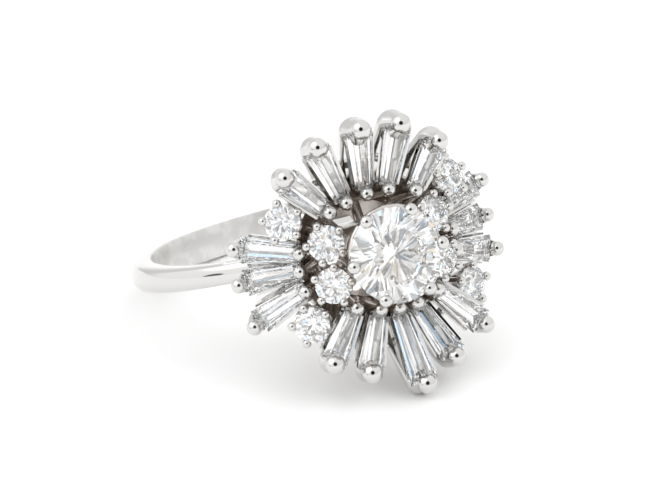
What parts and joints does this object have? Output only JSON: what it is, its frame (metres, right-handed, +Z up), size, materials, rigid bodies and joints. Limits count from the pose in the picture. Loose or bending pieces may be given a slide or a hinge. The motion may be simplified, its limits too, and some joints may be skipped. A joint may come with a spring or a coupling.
{
  "type": "marguerite ring",
  "caption": "Cluster cocktail ring with a round centre stone, tapered baguette petals and small round stones, on a plain tapered shank.",
  "frame": {"origin": "on the floor under the middle of the ring's box, as the ring lies on its side", "axes": "+Z up from the floor; -Y the way the head faces; +X to the right of someone who looks at the head"},
  "size_m": [0.0196, 0.028, 0.0148],
  "materials": {
    "white_metal": "polished",
    "diamond": "polished"
  },
  "bodies": {
    "root": {"ring_mount": "white_metal", "centre_stone": "diamond", "baguette_01": "diamond", "baguette_02": "diamond", "baguette_03": "diamond", "baguette_04": "diamond", "baguette_05": "diamond", "baguette_06": "diamond", "baguette_07": "diamond", "baguette_08": "diamond", "baguette_09": "diamond", "baguette_10": "diamond", "baguette_11": "diamond", "baguette_12": "diamond", "baguette_13": "diamond", "baguette_14": "diamond", "baguette_15": "diamond", "baguette_16": "diamond", "small_round_01": "diamond", "small_round_02": "diamond", "small_round_03": "diamond", "small_round_04": "diamond", "small_round_05": "diamond", "small_round_06": "diamond", "small_round_07": "diamond", "small_round_08": "diamond"}
  },
  "joints": []
}
